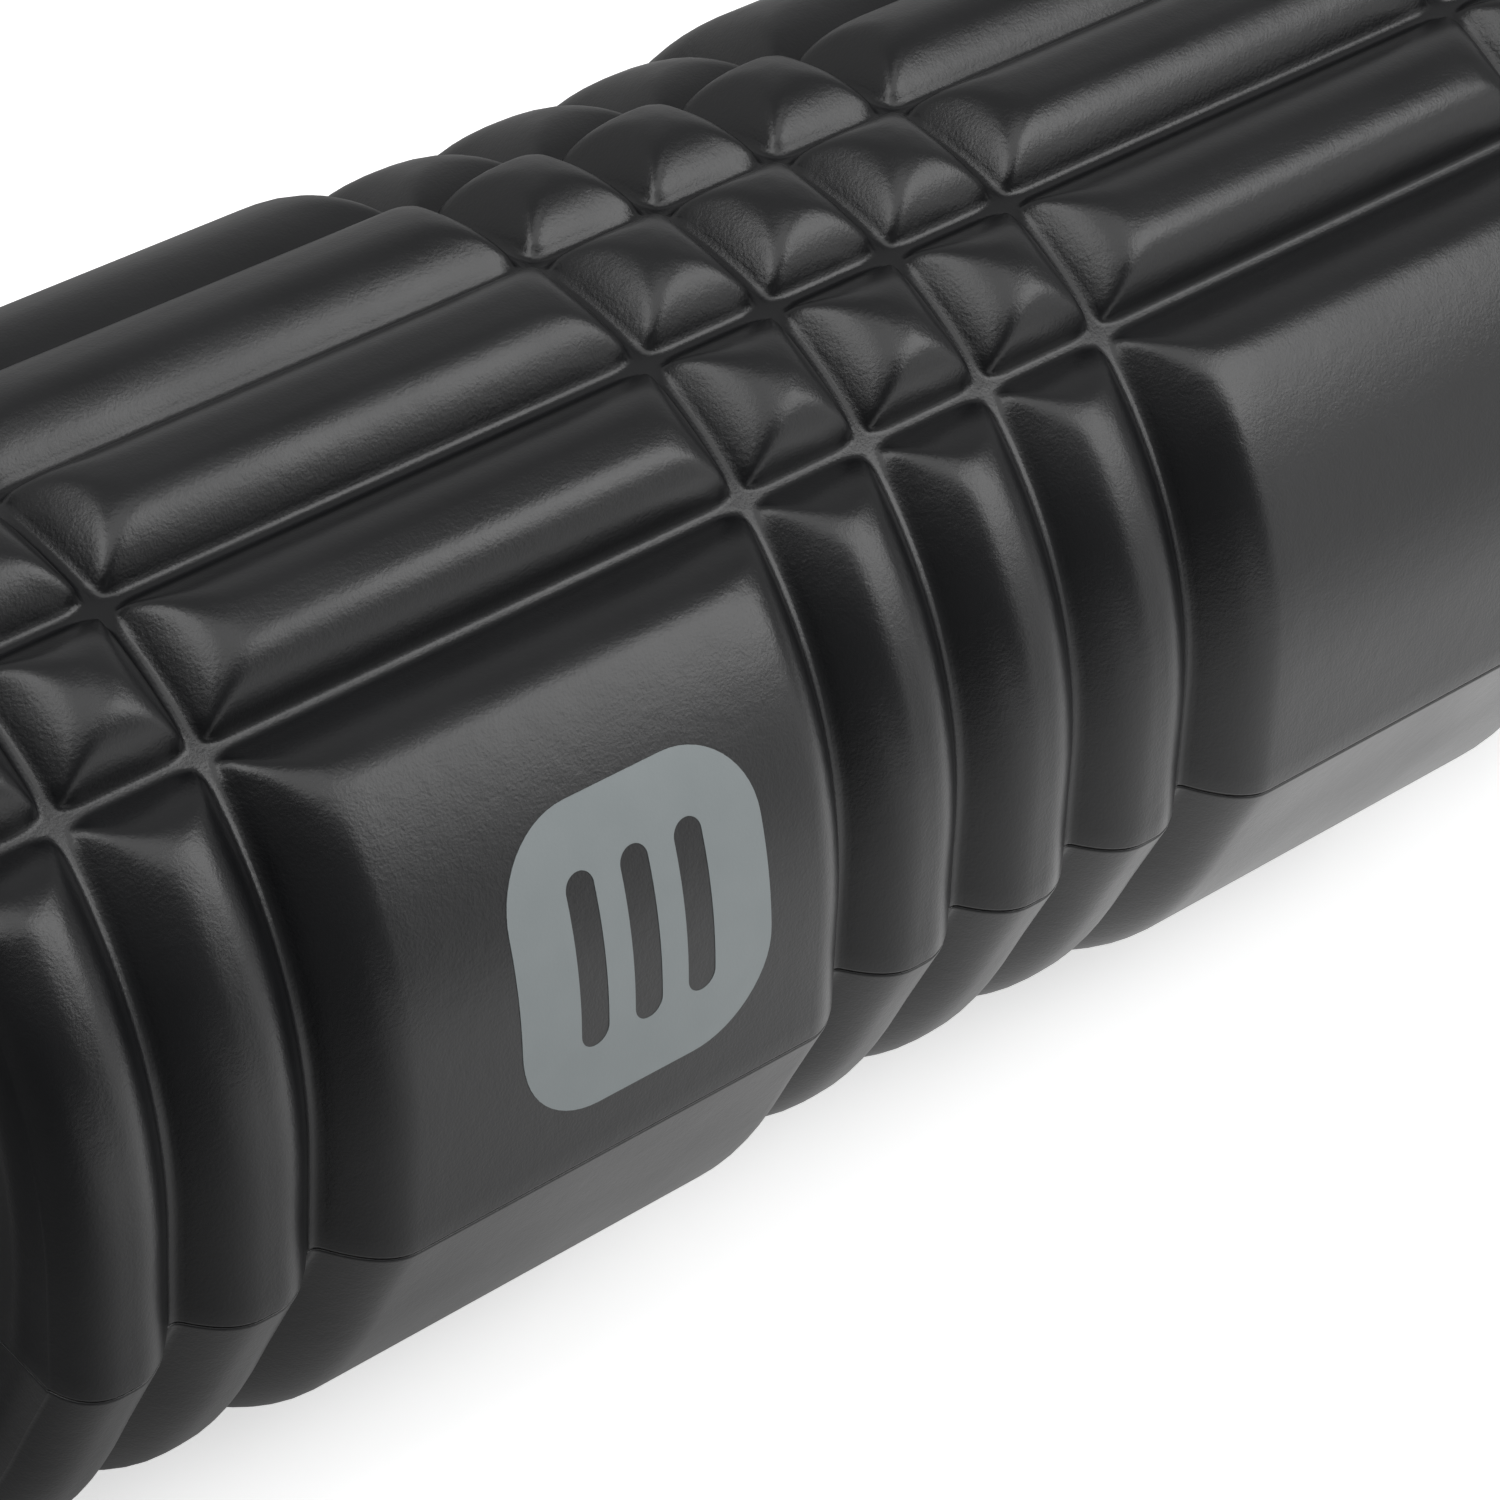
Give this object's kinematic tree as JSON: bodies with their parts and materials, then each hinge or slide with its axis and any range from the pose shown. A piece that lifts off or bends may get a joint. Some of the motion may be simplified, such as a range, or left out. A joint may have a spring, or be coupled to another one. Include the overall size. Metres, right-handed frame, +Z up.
{
  "type": "foam roller",
  "caption": "Hollow-core massage roller: a black moulded foam sleeve with broad pads, long bars, small blocks and ribs, glued round a rigid open tube.",
  "frame": {"origin": "middle of the bore: on the roller's axis, half way along it", "axes": "+X along the roller's axis, away from the end with the printed badge; +Z up, with the roller lying on the two bars beside its lowest groove; -Y towards the side with the badge and the seam"},
  "size_m": [0.324, 0.1405, 0.1382],
  "materials": {
    "foam": "satin moulded skin of closed-cell EVA foam",
    "core_plastic": "extruded plastic, slightly glossy",
    "adhesive": "dried contact adhesive, dull",
    "badge_ink": "pad-printed grey ink, matt"
  },
  "bodies": {
    "root": {"core_tube": "core_plastic", "core_bond": "adhesive", "foam_sleeve": "foam", "seam_bond": "adhesive", "printed_badge": "badge_ink"}
  },
  "joints": []
}
